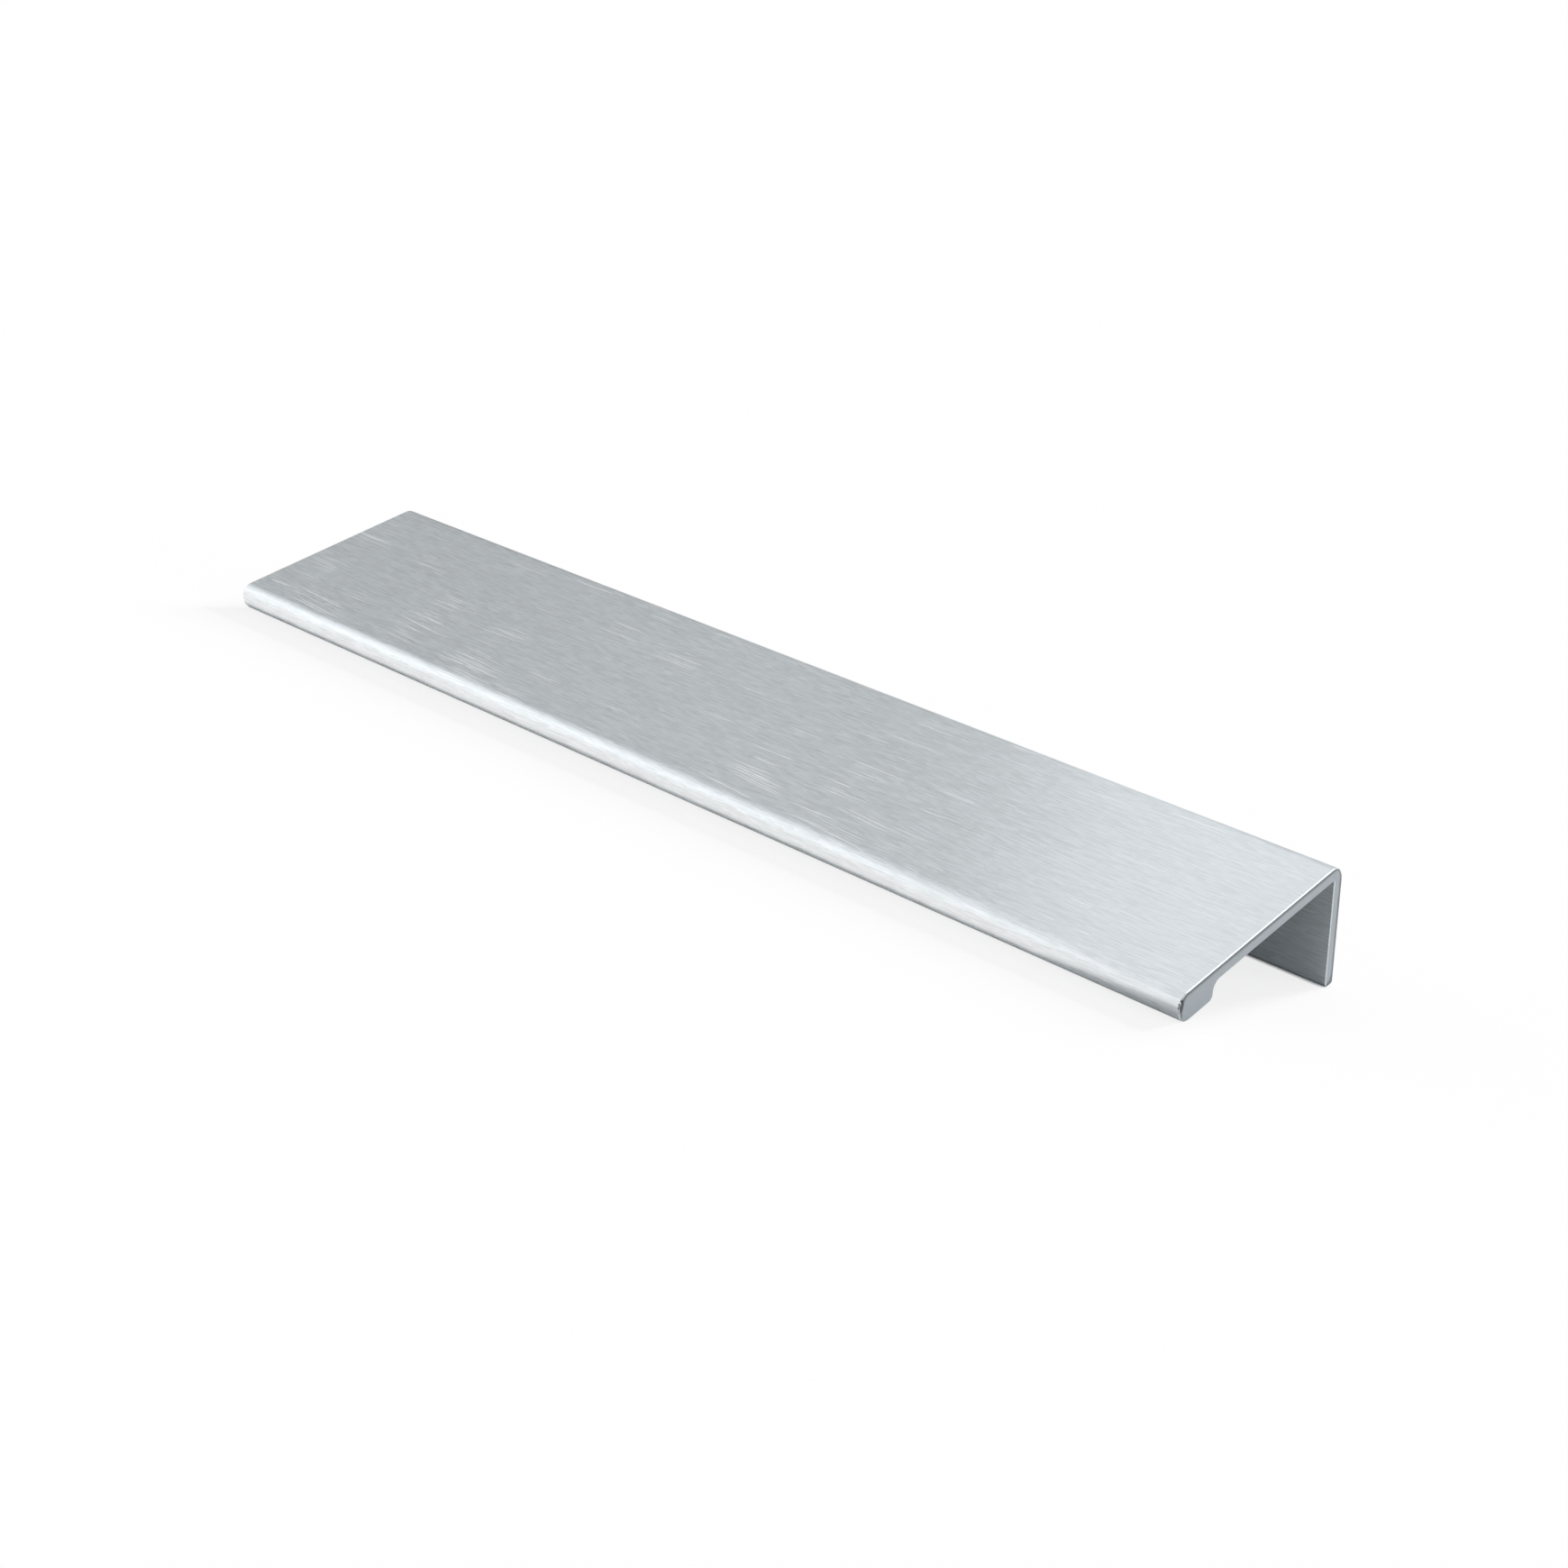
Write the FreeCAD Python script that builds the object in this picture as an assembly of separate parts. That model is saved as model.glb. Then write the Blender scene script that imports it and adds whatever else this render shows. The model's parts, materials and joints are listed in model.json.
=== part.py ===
import FreeCAD, Part
import math
import os

# Handleless finger pull profile
# One length of extruded aluminium that wraps the edge of a cabinet door.
# The plate lies on the door's edge, the leg hangs down the door's back and is
# screwed there, and the thick lip in front is what the fingers pull on.
# The section is drawn level, as on the door: y runs back, z runs up, and the
# plate's top face is z = 0. The finished length is then rolled forward until it
# rests on its lip and its foot, as it lies unheld on a flat surface.

# Overall sizes in millimetres
length = 200.0
depth = 42.0
height = 21.5
plate_wall = 2.3
leg_wall = 2.0

# Lip
lip_depth = 8.3
lip_height = 5.0
lip_top_radius = 2.0
lip_front_radius = 2.5
lip_heel_radius = 1.0
lip_root_radius = 1.5

# Bend and foot
bend_outer_radius = 3.0
bend_inner_radius = 0.4
foot_inner_radius = 0.9
foot_outer_radius = 0.5

# Sawn ends, touched with a file
end_break = 0.15

# Countersunk screw holes through the leg
screw_hole_diameter = 3.8
countersink_diameter = 6.8
screw_end_margin = 20.0
screw_count = 2

# Places that follow from the sizes above
front = -depth / 2
back = depth / 2
leg_face = back - leg_wall
lip_back = front + lip_depth
screw_height = -(plate_wall + height) / 2


def rounded_corner(before, corner, after, radius):
    """Start, middle and end of the arc that rounds one corner of an outline."""
    to_before = (before - corner).normalize()
    to_after = (after - corner).normalize()
    half_angle = to_before.getAngle(to_after) / 2
    setback = radius / math.tan(half_angle)
    middle_distance = radius / math.sin(half_angle) - radius
    inward = (to_before + to_after).normalize()
    return (
        corner + to_before * setback,
        corner + inward * middle_distance,
        corner + to_after * setback,
    )


def section_face():
    """The extrusion's section at x = 0: plate, leg and lip in one outline."""
    corners = [
        (front, 0, lip_top_radius),
        (back, 0, bend_outer_radius),
        (back, -height, foot_outer_radius),
        (leg_face, -height, foot_inner_radius),
        (leg_face, -plate_wall, bend_inner_radius),
        (lip_back, -plate_wall, lip_root_radius),
        (lip_back, -lip_height, lip_heel_radius),
        (front, -lip_height, lip_front_radius),
    ]
    points = [FreeCAD.Vector(0, y, z) for y, z, radius in corners]
    arcs = []
    for i, (y, z, radius) in enumerate(corners):
        after = points[(i + 1) % len(points)]
        arcs.append(rounded_corner(points[i - 1], points[i], after, radius))
    edges = []
    for i, (start, middle, end) in enumerate(arcs):
        edges.append(Part.Arc(start, middle, end).toShape())
        edges.append(Part.makeLine(end, arcs[(i + 1) % len(arcs)][0]))
    return Part.Face(Part.Wire(edges))


def cut_length():
    """The section extruded to length, centred on x = 0, both ends broken."""
    face = section_face()
    face.translate(FreeCAD.Vector(-length / 2, 0, 0))
    bar = face.extrude(FreeCAD.Vector(length, 0, 0))
    end_edges = []
    for edge in bar.Edges:
        if all(abs(abs(v.X) - length / 2) < 1e-6 for v in edge.Vertexes):
            end_edges.append(edge)
    return bar.makeChamfer(end_break, end_edges)


def screw_hole(x):
    """A countersunk hole through the leg, entered from its back face."""
    mouth = FreeCAD.Vector(x, back, screw_height)
    inward = FreeCAD.Vector(0, -1, 0)
    hole_radius = screw_hole_diameter / 2
    sink_radius = countersink_diameter / 2
    # A 90 degree countersink is as deep as its radius shrinks
    sink_depth = sink_radius - hole_radius
    shank = Part.makeCylinder(hole_radius, leg_wall, mouth, inward)
    head = Part.makeCone(sink_radius, hole_radius, sink_depth, mouth, inward)
    return shank.fuse(head)


def screw_holes():
    """All screw holes, evenly spaced between the end margins."""
    first = -length / 2 + screw_end_margin
    pitch = (length - 2 * screw_end_margin) / (screw_count - 1)
    return [screw_hole(first + i * pitch) for i in range(screw_count)]


def rest_roll():
    """Angle in degrees that brings the lip and the foot down on one level.

    Both touch the ground with a round, so the ground is the line that
    touches both arcs from below."""
    across = (leg_face + foot_inner_radius) - (front + lip_front_radius)
    down = (height - foot_inner_radius) - (lip_height - lip_front_radius)
    slope = math.atan2(down, across)
    radius_gain = foot_inner_radius - lip_front_radius
    return math.degrees(slope + math.asin(radius_gain / math.hypot(across, down)))


def at_rest(bar):
    """Roll the bar forward and set it centred on the ground."""
    bar.rotate(FreeCAD.Vector(0, 0, 0), FreeCAD.Vector(1, 0, 0), rest_roll())
    box = bar.BoundBox
    bar.translate(FreeCAD.Vector(0, -(box.YMin + box.YMax) / 2, -box.ZMin))
    return bar


profile = at_rest(cut_length().cut(screw_holes()))
os.makedirs("parts", exist_ok=True)
profile.exportStep("parts/finger_pull_profile.step")
print("volume mm3", round(profile.Volume, 1), "roll deg", round(rest_roll(), 3))
print("box", profile.BoundBox)
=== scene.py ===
# %% [markdown]
# # A brushed aluminium finger pull, dressed and photographed
# The real object is one length of extruded aluminium that wraps the edge of a cabinet door: a flat
# plate, a thick rounded lip in front to pull on, and a thin leg behind that takes two screws. It lies
# unheld on a pale table, rolled forward onto its lip and its foot.
#
# The shape is finished already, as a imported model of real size, and it is the frame of this scene.
# What is left is what the eye sees: the brushed and anodised surface, the sawn ends, the studio light
# and the camera. All lengths in Blender are metres.

import json
import math

import bpy
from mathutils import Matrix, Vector

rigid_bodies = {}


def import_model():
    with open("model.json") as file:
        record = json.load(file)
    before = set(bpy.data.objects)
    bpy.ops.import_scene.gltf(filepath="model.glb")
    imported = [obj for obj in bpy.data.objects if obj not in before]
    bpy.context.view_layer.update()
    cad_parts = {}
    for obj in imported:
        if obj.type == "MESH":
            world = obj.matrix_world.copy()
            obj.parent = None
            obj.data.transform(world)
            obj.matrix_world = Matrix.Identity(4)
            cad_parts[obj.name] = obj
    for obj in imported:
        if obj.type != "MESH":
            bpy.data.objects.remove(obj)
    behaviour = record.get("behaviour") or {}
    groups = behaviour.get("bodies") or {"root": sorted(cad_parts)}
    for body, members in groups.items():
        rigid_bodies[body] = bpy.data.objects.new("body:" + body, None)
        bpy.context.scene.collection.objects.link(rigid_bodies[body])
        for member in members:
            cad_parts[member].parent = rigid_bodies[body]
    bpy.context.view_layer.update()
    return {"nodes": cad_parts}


for leftover in list(bpy.data.objects):
    bpy.data.objects.remove(leftover)
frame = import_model()
profile = frame["nodes"]["finger_pull_profile"]

# %% [markdown]
# ## Real sizes
# A surface pattern only looks right at its real scale, so every pattern below starts from a size in
# millimetres. The section's own sizes are needed too, because the sawn ends and the direction of the
# brushing are found by place: the profile is 200 mm long, and its section is 42 mm deep and 21.5 mm
# high before it is rolled forward by 23.08 degrees.

# %% Sizes of the profile
MM = 0.001
LENGTH, DEPTH, HEIGHT = 200.0, 42.0, 21.5
ROLL_DEGREES = 23.08
LEVEL_SHIFT = (0.0, -0.632, -2.080)
print("length", LENGTH, "mm, rolled forward by", ROLL_DEGREES, "degrees")

# %% [markdown]
# ## Two small helpers
# Colours are written as the hex values a paint program shows. The renderer counts in linear light, so
# one function turns them. The other helper adds a node with its settings and its links, so that each
# material below reads as a list of its layers.

# %% Helpers
def linear(hex_colour):
    """An sRGB hex colour as linear red, green, blue and an alpha of 1."""
    channels = [int(hex_colour[i:i + 2], 16) / 255 for i in (1, 3, 5)]
    return [c / 12.92 if c <= 0.04045 else ((c + 0.055) / 1.055) ** 2.4 for c in channels] + [1.0]


def add_node(tree, kind, settings=None, **inputs):
    """Adds a node; an input is a value or another node's output socket."""
    node = tree.nodes.new(kind)
    for name, value in (settings or {}).items():
        setattr(node, name, value)
    for name, value in inputs.items():
        key = int(name[1:]) if name[0] == "_" and name[1:].isdigit() else name.replace("_", " ")
        socket = node.inputs[key]
        if isinstance(value, bpy.types.NodeSocket):
            tree.links.new(value, socket)
        else:
            socket.default_value = value
    return node


print("mid grey #808080 is", round(linear("#808080")[0], 3), "in linear light")

# %% [markdown]
# ## The finish: brushed and clear anodised aluminium
# The extrusion is pulled under an abrasive belt before it is anodised. The belt leaves fine straight
# lines along the length, each a few millimetres long, with a longer and deeper one here and there that
# catches the light. The clear anodic layer over them dulls the shine to a satin and cools the grey.
#
# It could be made with a scanned picture of brushed metal. A pattern computed in space gives the same
# lines without one, at any size and with no seam, and each layer keeps its real scale.
#
# The pattern's space is the object's own, turned back by the roll and moved to the middle of the
# section. So x runs along the length, y across the plate and z through it, all from the middle.

# %% Start the aluminium
metal = bpy.data.materials.new("brushed_anodised_aluminium")
metal.use_nodes = True
tree = metal.node_tree
tree.nodes.clear()
place = add_node(tree, "ShaderNodeTexCoord").outputs["Object"]
level = add_node(tree, "ShaderNodeMapping", Vector=place, Rotation=(-math.radians(ROLL_DEGREES), 0, 0),
                 Location=[shift * MM for shift in LEVEL_SHIFT]).outputs[0]
print("material", metal.name)

# %% [markdown]
# ### Belt lines
# Real belt lines are about 0.05 mm wide, finer than a pixel of the picture. They are drawn 0.14 mm wide
# so that they still show. Most are only about 2 mm long, because the belt's grains lift off again; a
# second set is longer, and broad bands show where the belt bit a little deeper.
#
# Noise would look like woven cloth here. Cells about random points look like brushing: space is
# squeezed along the length, so that each round cell becomes a line, and each line has its own grey.

# %% Belt lines and bands
def belt_marks(long_mm, wide_mm, turn_degrees=0.0):
    """Marks this long and this wide: the distance to the nearest one, and its random colour."""
    squeezed = add_node(tree, "ShaderNodeMapping", {"vector_type": "TEXTURE"}, Vector=level,
                        Rotation=(0, 0, math.radians(turn_degrees)),
                        Scale=[size * MM for size in (long_mm, wide_mm, wide_mm)]).outputs[0]
    return add_node(tree, "ShaderNodeTexVoronoi", Vector=squeezed, Scale=1.0).outputs


SHORT_LINE = (2.0, 0.14)
LONG_LINE = (9.0, 0.20)
BAND = (90.0, 2.0)
short_lines = add_node(tree, "ShaderNodeSeparateColor", Color=belt_marks(*SHORT_LINE)["Color"]).outputs[0]
long_lines = add_node(tree, "ShaderNodeSeparateColor", Color=belt_marks(*LONG_LINE)["Color"]).outputs[0]
band_space = add_node(tree, "ShaderNodeMapping", {"vector_type": "TEXTURE"}, Vector=level,
                      Scale=(BAND[0] * MM, BAND[1] * MM, BAND[1] * MM)).outputs[0]
broad_bands = add_node(tree, "ShaderNodeTexNoise", Vector=band_space, Scale=1.0, Detail=1.0).outputs[0]
print("belt lines", SHORT_LINE, "and", LONG_LINE, "mm, bands", BAND, "mm")

# %% [markdown]
# ### Single scratches, with painted glints
# Here and there a coarse grain of the belt leaves one scratch, 3 to 10 mm long. Its brightness is
# painted: a painted highlight that stands for the glint the scratch catches. They lie in groups,
# mostly on the left two thirds, and none is on the lip's round front. Handling leaves longer ones
# beside the lip, a few degrees off the length. The same cells give both: a spot about each point is
# squeezed into a dash. Few of the points are taken, by the random colour that each has, and that
# colour also says how bright the dash's painted glint is.

# %% Where the scratches gather
GROUP = (26.0, 7.0)
GROUP_SHIFT = (1.9, 1.9, 1.9)
group_space = add_node(tree, "ShaderNodeMapping", Vector=level, Location=GROUP_SHIFT,
                       Scale=[1 / (size * MM) for size in (GROUP[0], GROUP[1], GROUP[1])]).outputs[0]
groups = add_node(tree, "ShaderNodeTexNoise", Vector=group_space, Scale=1.0, Detail=1.0).outputs[0]
gathered = add_node(tree, "ShaderNodeMapRange", Value=groups, From_Min=0.32, From_Max=0.60,
                    To_Max=0.18).outputs[0]
axes = add_node(tree, "ShaderNodeSeparateXYZ", Vector=level).outputs
along, across = axes["X"], axes["Y"]
MANY, FEW = 20.0, 60.0
left_share = add_node(tree, "ShaderNodeMapRange", Value=along, From_Min=MANY * MM, From_Max=FEW * MM,
                      To_Min=1.0, To_Max=0.2).outputs[0]
FRONT = -DEPTH / 2
off_the_lip = add_node(tree, "ShaderNodeMapRange", Value=across, From_Min=(FRONT + 0.5) * MM,
                       From_Max=(FRONT + 2.0) * MM).outputs[0]
gathered = add_node(tree, "ShaderNodeMath", {"operation": "MULTIPLY"}, _0=gathered,
                    _1=off_the_lip).outputs[0]
print("scratches gather left of x =", MANY, "mm, thin out to x =", FEW, "mm and keep off the lip's round")

# %% Single scratches and their painted glints
SPOT = 0.35
BELT_SCRATCH = (11.0, 0.16, 1.0)
HANDLING_SCRATCH = (14.0, 0.16, -4.0)
beside_lip = add_node(tree, "ShaderNodeMapRange", Value=across, From_Min=-8 * MM, From_Max=-14 * MM,
                      To_Max=1.8).outputs[0]
scratches_and_glint = 0.0
for (long_mm, wide_mm, turn_degrees), share in ((BELT_SCRATCH, 1.0), (HANDLING_SCRATCH, beside_lip)):
    dashes = belt_marks(long_mm / (2 * SPOT), wide_mm / (2 * SPOT), turn_degrees)
    chance = add_node(tree, "ShaderNodeSeparateColor", Color=dashes["Color"]).outputs
    odds = add_node(tree, "ShaderNodeMath", {"operation": "MULTIPLY"}, _0=gathered, _1=share).outputs[0]
    odds = add_node(tree, "ShaderNodeMath", {"operation": "MULTIPLY_ADD"}, _0=odds, _1=left_share,
                    _2=chance[0]).outputs[0]
    taken = add_node(tree, "ShaderNodeMath", {"operation": "GREATER_THAN"}, _0=odds, _1=1.0).outputs[0]
    bright = add_node(tree, "ShaderNodeMapRange", Value=chance[1], To_Min=0.3, To_Max=1.0).outputs[0]
    dash = add_node(tree, "ShaderNodeMapRange", Value=dashes["Distance"], From_Min=SPOT,
                    From_Max=SPOT * 0.5).outputs[0]
    dash = add_node(tree, "ShaderNodeMath", {"operation": "MULTIPLY"}, _0=dash, _1=taken).outputs[0]
    scratches_and_glint = add_node(tree, "ShaderNodeMath", {"operation": "MULTIPLY_ADD"}, _0=dash, _1=bright,
                         _2=scratches_and_glint).outputs[0]
    print("scratches up to", long_mm, "x", wide_mm, "mm,", turn_degrees, "degrees off the length")

# %% [markdown]
# ### The sawn ends
# The ends are cut across with a circular saw and touched with a file. They are anodised with the rest,
# but they were never brushed, so they look flatter and darker. They are found by their place:
# everything past the broken edge, which itself stays bright because the file polished it.
#
# Right beside that bright edge a thin dark line is painted on the cut. It is painted shade: the dark
# reflection that a rounded edge would take from the surroundings there. It follows the outer outline.
# The distance to that outline is worked out as for a rectangle with round corners: how far a place
# lies past the corners' centres, less their radius.

# %% The sawn faces and their saw marks
END_STARTS, END_IS_FULL = LENGTH / 2 - 0.03, LENGTH / 2 - 0.01
SAW_MARK = (0.2, 1.4)
from_middle = add_node(tree, "ShaderNodeMath", {"operation": "ABSOLUTE"}, _0=along).outputs[0]
end_face = add_node(tree, "ShaderNodeMapRange", Value=from_middle, From_Min=END_STARTS * MM,
                    From_Max=END_IS_FULL * MM).outputs[0]
saw_space = add_node(tree, "ShaderNodeMapping", Vector=level,
                     Scale=(1, 1 / (SAW_MARK[0] * MM), 1 / (SAW_MARK[1] * MM))).outputs[0]
saw_marks = add_node(tree, "ShaderNodeTexNoise", Vector=saw_space, Scale=1.0, Detail=2.0).outputs[0]
print("sawn ends from", END_STARTS, "mm outwards, saw marks", SAW_MARK, "mm")

# %% The painted dark line along the cut's outer edge
CORNER = 2.2
PAINTED_EDGE_FADES, PAINTED_EDGE_IS_DARK = CORNER - 0.95, CORNER - 0.35
ROUND_CENTRES = (LENGTH * MM, (DEPTH / 2 - CORNER) * MM, (HEIGHT / 2 - CORNER) * MM)
either_side = add_node(tree, "ShaderNodeVectorMath", {"operation": "ABSOLUTE"}, _0=level).outputs[0]
past_centres = add_node(tree, "ShaderNodeVectorMath", {"operation": "SUBTRACT"}, _0=either_side,
                        _1=ROUND_CENTRES).outputs[0]
past_centres = add_node(tree, "ShaderNodeVectorMath", {"operation": "MAXIMUM"}, _0=past_centres,
                        _1=(0, 0, 0)).outputs[0]
outwards = add_node(tree, "ShaderNodeVectorMath", {"operation": "LENGTH"}, _0=past_centres).outputs["Value"]
# Painted shade: a dark line that grows towards the cut's outer outline.
painted_dark_edge = add_node(tree, "ShaderNodeMapRange", {"interpolation_type": "SMOOTHSTEP"}, Value=outwards,
                     From_Min=PAINTED_EDGE_FADES * MM, From_Max=PAINTED_EDGE_IS_DARK * MM).outputs[0]
print("dark line fades in over", round(PAINTED_EDGE_IS_DARK - PAINTED_EDGE_FADES, 2), "mm towards the outline")

# %% [markdown]
# The right end has one dark spot painted on the lip's front broken edge. It is painted shade: the dark
# reflection this edge takes from the surroundings. It is a spot in space at that corner, of an uneven
# outline, that darkens whatever lies in it.

# %% The painted dark spot on the lip's front edge
PAINTED_SPOT_CENTRE = (LENGTH / 2, -DEPTH / 2 + 0.2, HEIGHT / 2 - 1.5)
PAINTED_SPOT_REACH = (0.42, 0.9, 1.3)
painted_spot_space = add_node(tree, "ShaderNodeMapping", {"vector_type": "TEXTURE"}, Vector=level,
                      Location=[c * MM for c in PAINTED_SPOT_CENTRE], Scale=[c * MM for c in PAINTED_SPOT_REACH]).outputs[0]
from_painted_spot = add_node(tree, "ShaderNodeVectorMath", {"operation": "LENGTH"}, _0=painted_spot_space).outputs["Value"]
painted_dark_spot = add_node(tree, "ShaderNodeMapRange", Value=from_painted_spot, From_Min=1.0, From_Max=0.7).outputs[0]
uneven = add_node(tree, "ShaderNodeMapRange", Value=saw_marks, From_Min=0.35, From_Max=0.5).outputs[0]
painted_dark_spot = add_node(tree, "ShaderNodeMath", {"operation": "MULTIPLY"}, _0=painted_dark_spot, _1=uneven).outputs[0]
print("painted_dark_spot", 2 * PAINTED_SPOT_REACH[2], "mm long at", PAINTED_SPOT_CENTRE, "mm")

# %% [markdown]
# ### Colour, roughness and relief together
# Each layer moves the grey only a little: brushed metal is nearly one colour, and its lines show mostly
# by the way they turn the light. The shader is a metal with its default index of refraction. It is
# anisotropic: the lines spread a reflection across the grain and keep it short along it.

# %% Colour
# The darkest grey is the painted shade of the spot on the lip's front edge.
BRUSHED, SAWN, PAINTED_SPOT_GREY = "#D8DEE1", "#BCC3C8", "#4A4C50"
lightness = 0.86
# The scratches lift the grey far above the rest: that lift is a painted highlight, their glint.
for layer, weight in ((short_lines, 0.20), (long_lines, 0.06), (broad_bands, 0.04), (scratches_and_glint, 1.05)):
    lightness = add_node(tree, "ShaderNodeMath", {"operation": "MULTIPLY_ADD"}, _0=layer, _1=weight,
                         _2=lightness).outputs[0]
brushed_grey = add_node(tree, "ShaderNodeMix", {"data_type": "RGBA", "blend_type": "MULTIPLY"},
                        Factor=1.0, _6=linear(BRUSHED), _7=lightness).outputs[2]
# The painted shade darkens the sawn grey along the cut's outline, and the saw marks vary it.
painted_edge_darkening = add_node(tree, "ShaderNodeMapRange", Value=painted_dark_edge, To_Min=0.96, To_Max=0.42).outputs[0]
saw_marks_and_painted_edge = add_node(tree, "ShaderNodeMath", {"operation": "MULTIPLY_ADD"}, _0=saw_marks, _1=0.12,
                         _2=painted_edge_darkening).outputs[0]
sawn_grey_and_painted_edge = add_node(tree, "ShaderNodeMix", {"data_type": "RGBA", "blend_type": "MULTIPLY"},
                     Factor=1.0, _6=linear(SAWN), _7=saw_marks_and_painted_edge).outputs[2]
colour = add_node(tree, "ShaderNodeMix", {"data_type": "RGBA"}, Factor=end_face, _6=brushed_grey,
                  _7=sawn_grey_and_painted_edge).outputs[2]
# Painted shade: the dark spot on the lip's front edge.
colour = add_node(tree, "ShaderNodeMix", {"data_type": "RGBA"}, Factor=painted_dark_spot, _6=colour,
                  _7=linear(PAINTED_SPOT_GREY)).outputs[2]
print("brushed", BRUSHED, "sawn", SAWN, "painted_dark_spot", PAINTED_SPOT_GREY)

# %% Roughness and relief
SMOOTH, ROUGH = 0.30, 0.36
RELIEF = 0.01
roughness = add_node(tree, "ShaderNodeMapRange", Value=short_lines, To_Min=SMOOTH, To_Max=ROUGH).outputs[0]
for layer, weight in ((scratches_and_glint, 0.25), (end_face, 0.12)):
    roughness = add_node(tree, "ShaderNodeMath", {"operation": "MULTIPLY_ADD"}, _0=layer, _1=weight,
                         _2=roughness).outputs[0]
relief = long_lines
for layer, weight in ((short_lines, 0.3), (scratches_and_glint, -0.7)):
    relief = add_node(tree, "ShaderNodeMath", {"operation": "MULTIPLY_ADD"}, _0=layer, _1=weight,
                      _2=relief).outputs[0]
bump = add_node(tree, "ShaderNodeBump", Strength=0.07, Distance=RELIEF * MM, Height=relief).outputs[0]
print("roughness", SMOOTH, "to", ROUGH, "relief", RELIEF, "mm")

# %% [markdown]
# The brushing direction is the shader's tangent: along x on the faces that the belt ran over, and
# along y, the way the saw went, on the sawn ends.

# %% Join the layers and dress the profile
brushed_along = add_node(tree, "ShaderNodeMix", {"data_type": "VECTOR"}, Factor=end_face, _4=(1, 0, 0),
                         _5=(0, 1, 0)).outputs[1]
shader = add_node(tree, "ShaderNodeBsdfPrincipled", Base_Color=colour, Metallic=1.0, Roughness=roughness,
                  Anisotropic=0.9, Anisotropic_Rotation=0.25, Tangent=brushed_along, Normal=bump)
add_node(tree, "ShaderNodeOutputMaterial", Surface=shader.outputs[0])
profile.data.materials.clear()
profile.data.materials.append(metal)
print("dressed", profile.name, "with", len(tree.nodes), "nodes")

# %% [markdown]
# ## The table
# The picture is taken on white card. The floor is plain white and really lit, so that the metal sees
# the card and the shadow under the plate. A card photographed this bright shows only the faintest
# shadow. So for the camera the floor is mixed with an even white, and a little of it goes to mirrors
# and glass too. The white is held back within a millimetre and a half of the foot, so that the thin
# dark line of its contact stays.

# %% Floor
bpy.ops.object.select_all(action="DESELECT")
bpy.ops.mesh.primitive_plane_add(size=60.0, location=(0, 0, 0))
floor = bpy.context.active_object
floor.name = "floor"
card = bpy.data.materials.new("white_card")
card.use_nodes = True
tree = card.node_tree
tree.nodes.clear()
rays = add_node(tree, "ShaderNodeLightPath").outputs
evenness = 0.0
for ray, share in (("Is Camera Ray", 0.80), ("Is Glossy Ray", 0.02), ("Is Transmission Ray", 0.02)):
    evenness = add_node(tree, "ShaderNodeMath", {"operation": "MULTIPLY_ADD"}, _0=rays[ray], _1=share,
                        _2=evenness).outputs[0]
lit_card = add_node(tree, "ShaderNodeBsdfDiffuse", Color=linear("#F8F8F8")).outputs[0]
even_white = add_node(tree, "ShaderNodeEmission", Color=linear("#FFFFFF"), Strength=1.0).outputs[0]
place = add_node(tree, "ShaderNodeTexCoord").outputs["Object"]
to_the_back = add_node(tree, "ShaderNodeSeparateXYZ", Vector=place).outputs["Y"]
at_lip = add_node(tree, "ShaderNodeMath", {"operation": "LESS_THAN"}, _0=to_the_back, _1=0.0).outputs[0]
NEAR_FOOT = 1.6
open_above = add_node(tree, "ShaderNodeAmbientOcclusion", {"samples": 8},
                      Distance=NEAR_FOOT * MM).outputs["AO"]
clear = add_node(tree, "ShaderNodeMapRange", Value=open_above, From_Min=0.3, From_Max=0.9).outputs[0]
clear = add_node(tree, "ShaderNodeMath", {"operation": "MAXIMUM"}, _0=clear, _1=at_lip).outputs[0]
evenness = add_node(tree, "ShaderNodeMath", {"operation": "MULTIPLY"}, _0=evenness, _1=clear).outputs[0]
card_mix = add_node(tree, "ShaderNodeMixShader", _0=evenness, _1=lit_card, _2=even_white)
add_node(tree, "ShaderNodeOutputMaterial", Surface=card_mix.outputs[0])
floor.data.materials.append(card)
print("floor", floor.dimensions[0], "m wide, dark line within", NEAR_FOOT, "mm of the foot")

# %% [markdown]
# ## The light
# A white room surrounds the table. The metal shows it at full white, and the card is lit by it at a
# lower strength, so that the lamps can draw a shadow.

# %% The white room
world = bpy.data.worlds.new("white_room")
bpy.context.scene.world = world
world.use_nodes = True
tree = world.node_tree
tree.nodes.clear()
rays = add_node(tree, "ShaderNodeLightPath").outputs
seen = 0.0
for ray in ("Is Camera Ray", "Is Glossy Ray", "Is Transmission Ray"):
    seen = add_node(tree, "ShaderNodeMath", {"operation": "ADD", "use_clamp": True}, _0=rays[ray],
                    _1=seen).outputs[0]
room_light = add_node(tree, "ShaderNodeMapRange", Value=seen, To_Min=0.45, To_Max=1.0).outputs[0]
room = add_node(tree, "ShaderNodeBackground", Color=linear("#FFFFFF"), Strength=room_light)
add_node(tree, "ShaderNodeOutputWorld", Surface=room.outputs[0])
print("white room ready")

# %% [markdown]
# Three large soft sources shape the metal. The key stands low at the left and a little in front, and
# runs along the lip as a bright band. One hangs overhead and one stands behind at the right, and the
# right half of the plate mirrors them. A fourth, behind, lights only the card: it throws the profile's
# shadow forward, where it shows as a soft grey band in front of the lip. All are suns with a wide
# disc, that is softboxes so far away that the whole table gets the same light.

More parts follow.
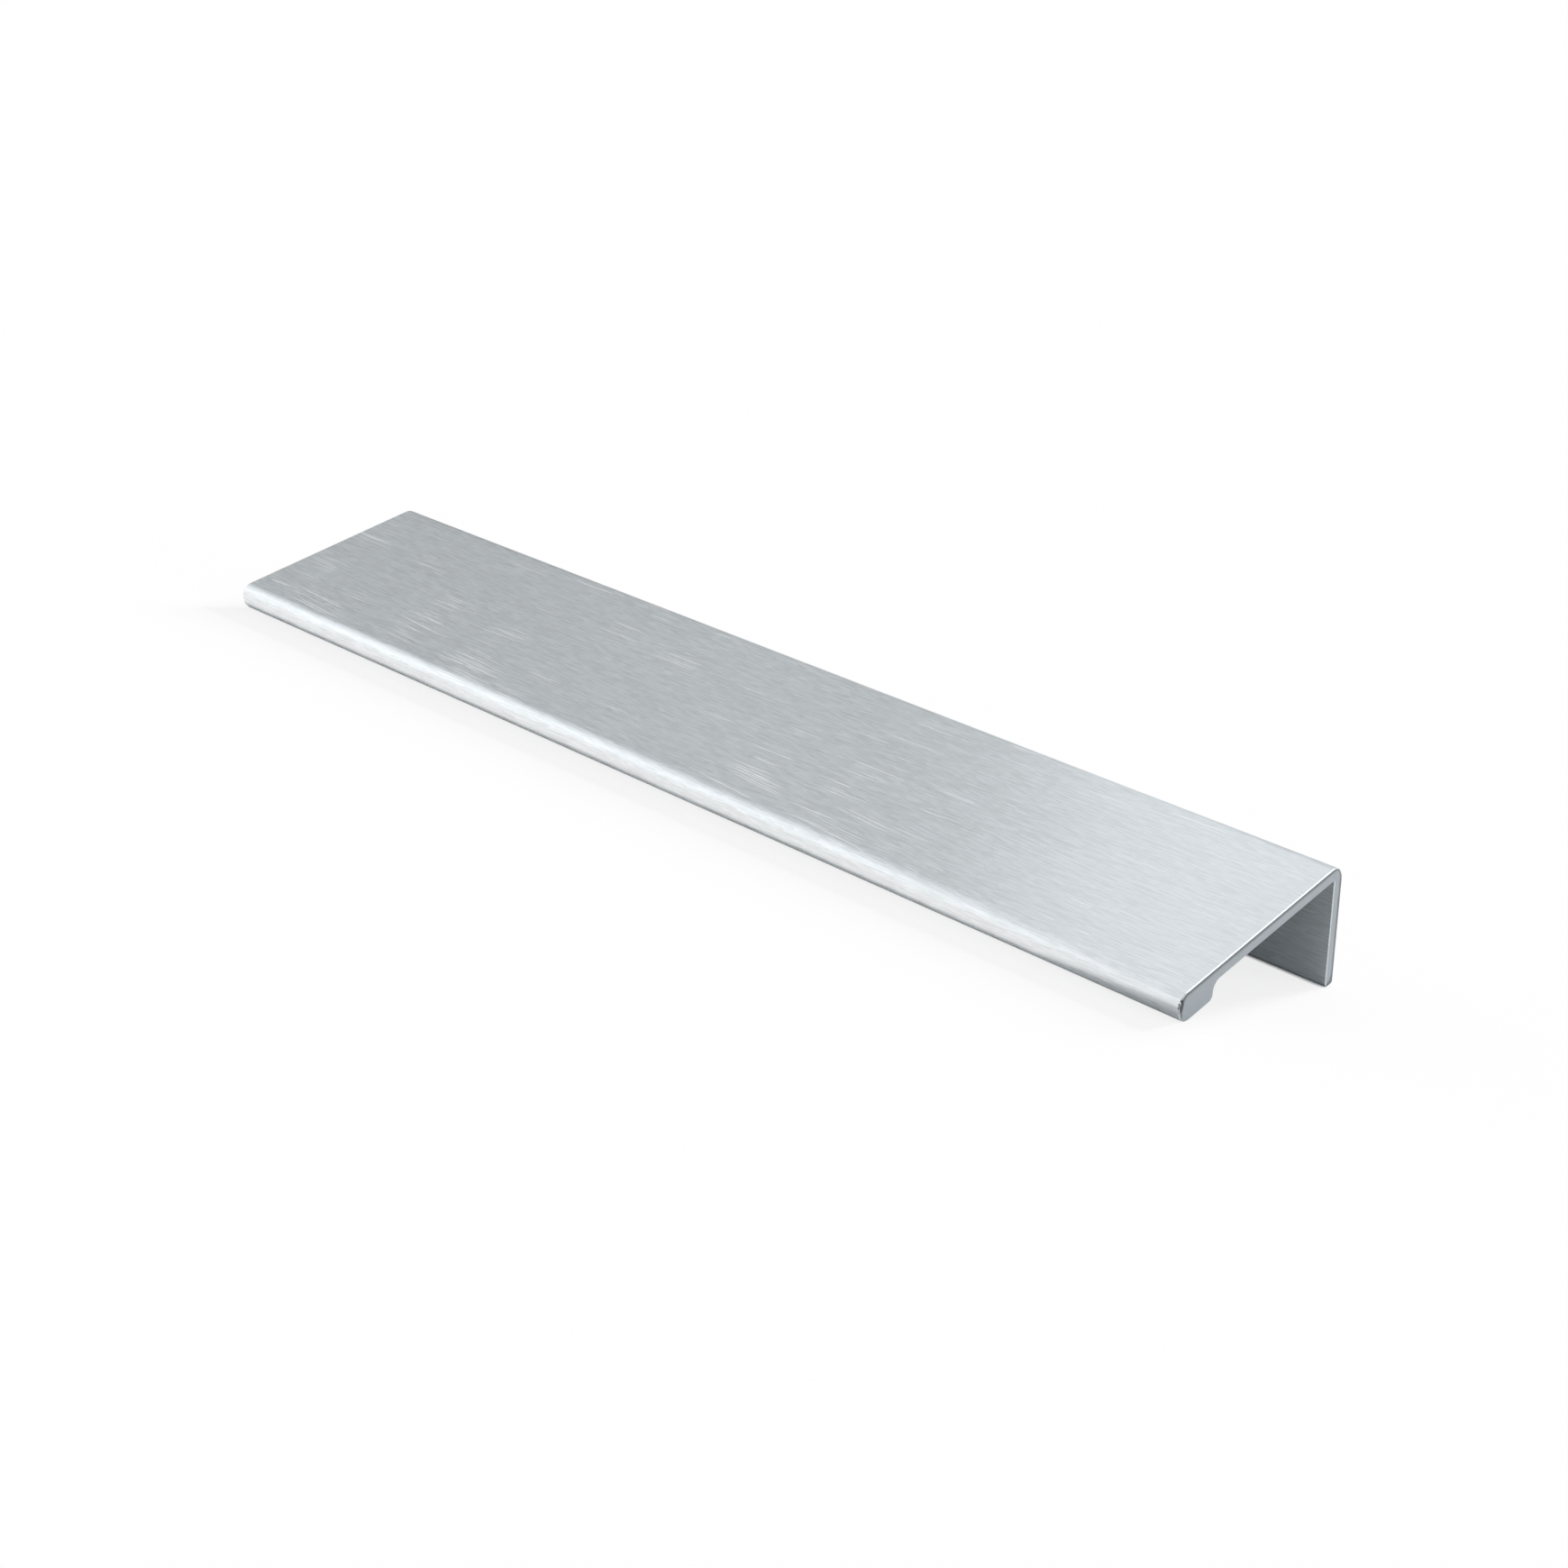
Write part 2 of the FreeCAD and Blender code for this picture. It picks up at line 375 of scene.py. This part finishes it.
# %% Lamps
def softbox(name, towards, strength, disc_degrees):
    """A very wide sun that shines from this direction."""
    lamp = bpy.data.lights.new(name, "SUN")
    lamp.energy = strength
    lamp.angle = math.radians(disc_degrees)
    holder = bpy.data.objects.new(name, lamp)
    holder.rotation_euler = Vector(towards).to_track_quat("Z", "Y").to_euler()
    bpy.context.scene.collection.objects.link(holder)
    print(name, "from", towards, "strength", strength, "disc", disc_degrees)
    return holder


softbox("softbox_left", (-0.82, -0.55, 0.10), 0.41, 60)
softbox("softbox_overhead", (0.10, 0.45, 0.88), 0.18, 70)
softbox("softbox_back_right", (0.565, 0.516, 0.645), 0.45, 30)
softbox("shadow_lamp", (0.0, 0.92, 0.38), 3.6, 12).visible_glossy = False

# %% [markdown]
# ### Cards for the mirror
# A photographer shapes a metal's picture by what it mirrors. In a room that is white all round, bare
# aluminium looks like white plastic. So grey cards stand around the table, and the metal shows them
# with the white room between them:
#
# - A quarter of a large disc, at the left behind the profile, is what the left two thirds of the plate
#   mirror. Its round edge is the soft step in brightness near the plate's right end, and it is lit a
#   little brighter towards that edge, as a card close to a softbox is. A smaller one in front of it
#   keeps the plate grey when it is seen from the right end.
# - A low dark card before it draws the thin dark line along the plate's back edge.
# - A wall behind, one at the right and one in front, and a ceiling give the metal its grey in views
#   from the other sides. The white room shows above the low wall in the back right corner, and the
#   broken edge of the right end catches it as a bright line.
# - A white strip on the table lights the lip from below.
#
# Only mirrors see the cards. They take no light from the table.

# %% Helpers for the cards
def card_paint(name, grey, strength=1.0):
    """An evenly lit card of this grey."""
    paint = bpy.data.materials.new(name)
    paint.use_nodes = True
    paint.node_tree.nodes.clear()
    even_light = add_node(paint.node_tree, "ShaderNodeEmission", Color=linear(grey), Strength=strength)
    add_node(paint.node_tree, "ShaderNodeOutputMaterial", Surface=even_light.outputs[0])
    return paint


def only_for_mirrors(name, paint):
    """Puts the new sheet's place in its mesh, names and paints it, and hides it from all but mirrors."""
    bpy.ops.object.transform_apply(location=True, rotation=True, scale=True)
    sheet = bpy.context.active_object
    sheet.name = name
    sheet.data.materials.append(paint)
    sheet.visible_camera = False
    sheet.visible_shadow = False
    sheet.visible_diffuse = False
    print(name, "measures", [round(d, 3) for d in sheet.dimensions], "m")


CARD_DISTANCE = 3.0
print("cards stand", CARD_DISTANCE, "m away")

# %% Grey cards at the left
LARGE_RADIUS, SMALL_RADIUS = 5.34, 1.8
GRADED_FROM, GRADED_TO = 3.0, 4.0
graded_paint = card_paint("grey_card_paint", "#BEBEBE")
tree = graded_paint.node_tree
place = add_node(tree, "ShaderNodeTexCoord").outputs["Object"]
from_centre = add_node(tree, "ShaderNodeVectorMath", {"operation": "DISTANCE"}, _0=place,
                       _1=(-CARD_DISTANCE, 0, 0)).outputs["Value"]
grading = add_node(tree, "ShaderNodeMapRange", Value=from_centre, From_Min=GRADED_FROM,
                   From_Max=GRADED_TO, To_Min=0.91, To_Max=1.17).outputs[0]
tree.links.new(grading, tree.nodes["Emission"].inputs["Strength"])

# A whole disc, cut in half just above the table and again along the profile's axis.
for name, radius, side in (("grey_card", LARGE_RADIUS, 1), ("small_grey_card", SMALL_RADIUS, -1)):
    bpy.ops.object.select_all(action="DESELECT")
    bpy.ops.mesh.primitive_circle_add(vertices=96, radius=radius, fill_type="NGON",
                                      location=(-CARD_DISTANCE, 0, 0), rotation=(0, math.radians(90), 0))
    bpy.ops.object.transform_apply(location=True, rotation=True, scale=True)
    bpy.ops.object.mode_set(mode="EDIT")
    for upward, sideways in ((1, 0), (0, side)):
        bpy.ops.mesh.select_all(action="SELECT")
        bpy.ops.mesh.bisect(plane_co=(0, 0, upward * MM), plane_no=(0, sideways, upward), clear_inner=True)
    bpy.ops.object.mode_set(mode="OBJECT")
    only_for_mirrors(name, graded_paint)

# %% Low dark card
bpy.ops.object.select_all(action="DESELECT")
bpy.ops.mesh.primitive_plane_add(size=1.0, location=(-CARD_DISTANCE + 0.2, 3.0, 0.5),
                                 rotation=(0, math.radians(90), 0), scale=(1.0, 6.0, 1.0))
only_for_mirrors("dark_card", card_paint("dark_card_paint", "#606060"))

# %% Walls and ceiling
SHEETS = (("back_wall", (0.0, 3.0, 2.2), (90, 0, 0), (3.0, 4.4, 1.0)),
          ("right_wall", (3.0, -0.9, 2.2), (0, 90, 0), (4.4, 4.2, 1.0)),
          ("low_corner_wall", (2.5, 2.5, 1.1), (90, 0, -45), (3.2, 2.2, 1.0)),
          ("front_wall", (1.7, -3.0, 2.2), (90, 0, 0), (4.4, 4.4, 1.0)),
          ("ceiling", (0.5, 0.0, 3.2), (0, 0, 0), (2.0, 5.0, 1.0)))
wall_paint = card_paint("wall_grey_paint", "#B4B6B8")
for name, centre, turn, size in SHEETS:
    bpy.ops.object.select_all(action="DESELECT")
    bpy.ops.mesh.primitive_plane_add(size=1.0, location=centre, rotation=[math.radians(a) for a in turn])
    bpy.context.active_object.scale = size
    only_for_mirrors(name, wall_paint)

# %% White strip in front of the lip
# Its right end is drawn out past the profile's right end, and narrows a little.
STRIP_LONG, STRIP_WIDE = 0.275, 0.0511
bpy.ops.object.select_all(action="DESELECT")
bpy.ops.mesh.primitive_plane_add(size=1.0, location=(-0.0625, -0.0482, 0.00003))
bpy.ops.transform.resize(value=(STRIP_LONG, STRIP_WIDE, 1.0))
bpy.ops.object.transform_apply(location=True, rotation=True, scale=True)
strip = bpy.context.active_object
bpy.ops.object.mode_set(mode="EDIT")
bpy.ops.mesh.select_all(action="DESELECT")
bpy.ops.object.mode_set(mode="OBJECT")
for corner in strip.data.vertices:
    corner.select = corner.co.x > 0
for side in strip.data.edges:
    side.select = all(strip.data.vertices[v].co.x > 0 for v in side.vertices)
bpy.ops.object.mode_set(mode="EDIT")
DRAWN_OUT = (0.035, -0.002, 0)
bpy.ops.mesh.extrude_region_move(TRANSFORM_OT_translate={"value": DRAWN_OUT})
bpy.ops.transform.resize(value=(1.0, 0.92, 1.0))
bpy.ops.object.mode_set(mode="OBJECT")
only_for_mirrors("reflector_strip", card_paint("reflector_paint", "#FFFAF8", 1.18))
print("strip reaches from x", round(min(v.co.x for v in strip.data.vertices), 3), "to",
      round(max(v.co.x for v in strip.data.vertices), 3))

# %% [markdown]
# ## The camera
# The place, the turn and the lens are those of the real picture. They were found from the vanishing
# lines of the plate's long and short edges and from the profile's sizes. The camera is level with the
# plate rather than with the table, which is why it is rolled.

# %% Camera
lens = bpy.data.cameras.new("camera")
lens.sensor_width = 36.0
lens.lens = 57.00
lens.clip_start = 0.01
lens.clip_end = 200.0
camera = bpy.data.objects.new("camera", lens)
camera.location = (0.242028, -0.313610, 0.096507)
camera.rotation_euler = [math.radians(a) for a in (76.0900, -12.8657, 39.5944)]
bpy.context.scene.collection.objects.link(camera)
bpy.context.scene.camera = camera
bpy.context.scene.view_settings.view_transform = "Standard"
print("camera", round(camera.location.length, 3), "m from the profile, lens", lens.lens, "mm")
